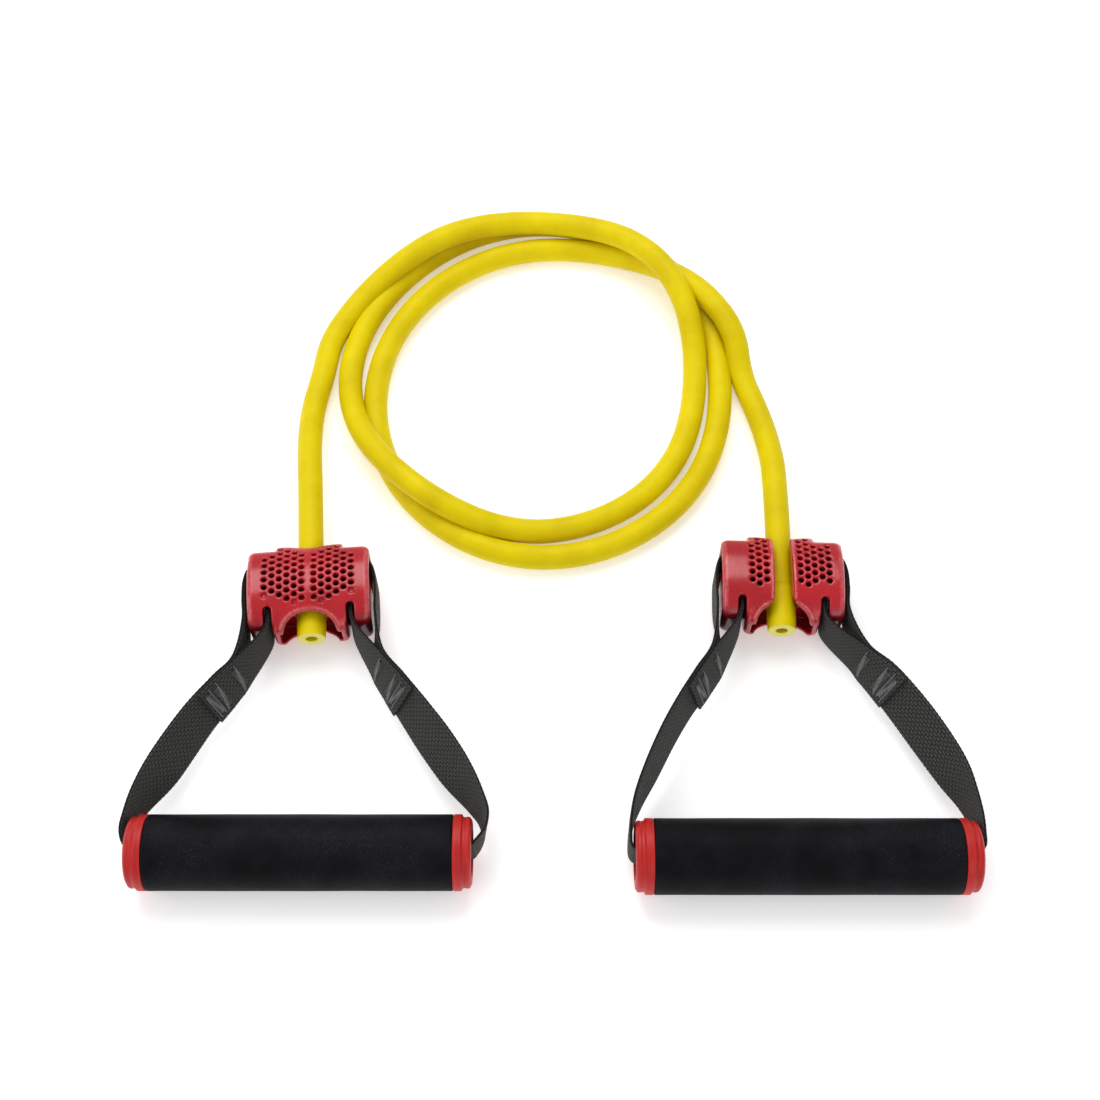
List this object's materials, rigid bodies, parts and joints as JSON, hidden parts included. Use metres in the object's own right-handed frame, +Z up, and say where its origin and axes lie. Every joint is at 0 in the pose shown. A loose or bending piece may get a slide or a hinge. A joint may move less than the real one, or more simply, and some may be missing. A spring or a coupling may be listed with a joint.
{
  "type": "resistance band",
  "caption": "Latex exercise tube in loose coils, its plugged ends seated in two vented plastic pockets, each on webbing with a spinning foam-look grip.",
  "frame": {"origin": "on the surface it lies on, under the middle of the two handles' box, without the loose tube", "axes": "+X from the left handle to the right one, +Y from the grips to the coiled tube, +Z up off the surface"},
  "size_m": [0.3453, 0.3436, 0.0304],
  "materials": {
    "tube_latex": "satin",
    "pocket_plastic": "glossy",
    "cap_plastic": "satin",
    "grip_rubber": "matte",
    "core_plastic": "matte",
    "webbing": "woven",
    "stitch_thread": "thread",
    "plug_plastic": "matte"
  },
  "bodies": {
    "tube": {"tube_coil": "tube_latex", "left_tube_arm": "tube_latex", "left_tube_end": "tube_latex", "left_plug": "plug_plastic", "right_tube_arm": "tube_latex", "right_tube_end": "tube_latex", "right_plug": "plug_plastic"},
    "left_pocket": {"left_pocket": "pocket_plastic", "left_pocket_webbing": "webbing"},
    "left_strap": {"left_handle_webbing": "webbing", "left_bar_tacks": "stitch_thread"},
    "left_grip": {"left_core_tube": "core_plastic", "left_grip_sleeve": "grip_rubber", "left_end_cap_left": "cap_plastic", "left_end_cap_right": "cap_plastic"},
    "right_pocket": {"right_pocket": "pocket_plastic", "right_pocket_webbing": "webbing"},
    "right_strap": {"right_handle_webbing": "webbing", "right_bar_tacks": "stitch_thread"},
    "right_grip": {"right_core_tube": "core_plastic", "right_grip_sleeve": "grip_rubber", "right_end_cap_left": "cap_plastic", "right_end_cap_right": "cap_plastic"}
  },
  "joints": [
    {"name": "left_pocket_unseat", "type": "slide", "parent": "tube", "child": "left_pocket", "axis": [-0.0698, 0.9976, 0], "range_m": [0, 0.02]},
    {"name": "left_handle_swing", "type": "hinge", "parent": "left_pocket", "child": "left_strap", "pos_m": [-0.1007, 0.02058, 0.0145], "axis": [-0.9976, -0.0698, 0], "range_deg": [0, 50]},
    {"name": "left_grip_spin", "type": "hinge", "parent": "left_strap", "child": "left_grip", "pos_m": [-0.0996, -0.0618, 0.0152], "axis": [1, 0, 0], "continuous": true},
    {"name": "right_pocket_unseat", "type": "slide", "parent": "tube", "child": "right_pocket", "axis": [0.0262, 0.9997, 0], "range_m": [0, 0.02]},
    {"name": "right_handle_swing", "type": "hinge", "parent": "right_pocket", "child": "right_strap", "pos_m": [0.09864, 0.02441, 0.0145], "axis": [-0.9997, 0.0262, 0], "range_deg": [0, 50]},
    {"name": "right_grip_spin", "type": "hinge", "parent": "right_strap", "child": "right_grip", "pos_m": [0.1023, -0.0634, 0.0152], "axis": [1, 0, 0], "continuous": true}
  ]
}
